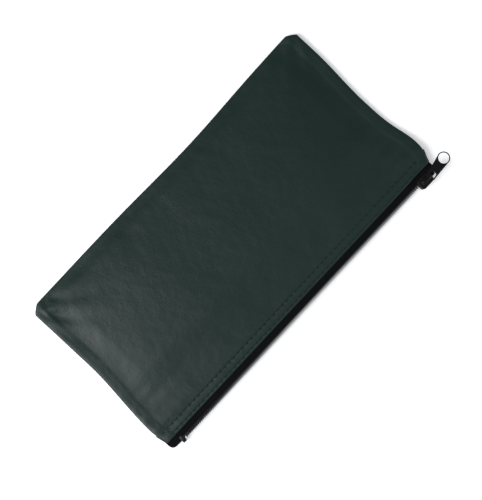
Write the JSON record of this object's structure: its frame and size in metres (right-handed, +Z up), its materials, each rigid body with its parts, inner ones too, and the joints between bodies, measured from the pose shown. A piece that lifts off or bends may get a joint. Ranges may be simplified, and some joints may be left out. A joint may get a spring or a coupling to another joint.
{
  "type": "cash deposit bag",
  "caption": "Flat zip cash deposit bag: folded vinyl pouch with side seams, turned and stitched mouth hems, coil zip, slider and ring pull tab.",
  "frame": {"origin": "middle of the lying bag, on the outer face of the back panel that it rests on", "axes": "+X along the mouth towards the slider's open end, +Y from the mouth to the fold, +Z up out of the front panel"},
  "size_m": [0.2881, 0.1472, 0.0114],
  "materials": {
    "vinyl": "dark green vinyl leatherette, fine grain, satin",
    "zip_tape": "black woven polyester tape, matt",
    "coil": "black nylon coil, satin",
    "filler_cord": "black spun cord",
    "black_thread": "black polyester thread",
    "green_thread": "dark green polyester thread",
    "black_enamel": "black enamel on zinc, semi-gloss"
  },
  "bodies": {
    "bag": {"back_panel": "vinyl", "back_tape": "zip_tape", "back_coil": "coil", "back_coil_cord": "filler_cord", "back_coil_stitching": "black_thread", "back_hem_stitching_outer": "green_thread", "back_hem_stitching_inner": "green_thread", "left_seam_stitching": "green_thread", "right_seam_stitching": "green_thread", "back_top_stop": "black_enamel", "bottom_stop": "black_enamel"},
    "front_lip": {"front_panel": "vinyl", "front_tape": "zip_tape", "front_coil": "coil", "front_coil_cord": "filler_cord", "front_coil_stitching": "black_thread", "front_hem_stitching_outer": "green_thread", "front_hem_stitching_inner": "green_thread", "front_top_stop": "black_enamel"},
    "slider": {"slider_body": "black_enamel"},
    "pull": {"pull_tab": "black_enamel"}
  },
  "joints": [
    {"name": "mouth_open", "type": "hinge", "parent": "bag", "child": "front_lip", "pos_m": [0, 0.0717, 0.0009], "axis": [-1, 0, 0], "range_deg": [0, 15], "deforming": ["front_tape", "front_coil", "front_coil_cord", "front_coil_stitching"]},
    {"name": "slider_slide", "type": "slide", "parent": "bag", "child": "slider", "axis": [1, 0, 0], "range_m": [-0.2435, 0]},
    {"name": "pull_swing", "type": "hinge", "parent": "slider", "child": "pull", "pos_m": [0.1269, -0.07215, 0.00945], "axis": [0.1392, -0.9903, 0], "range_deg": [0, 142]}
  ]
}
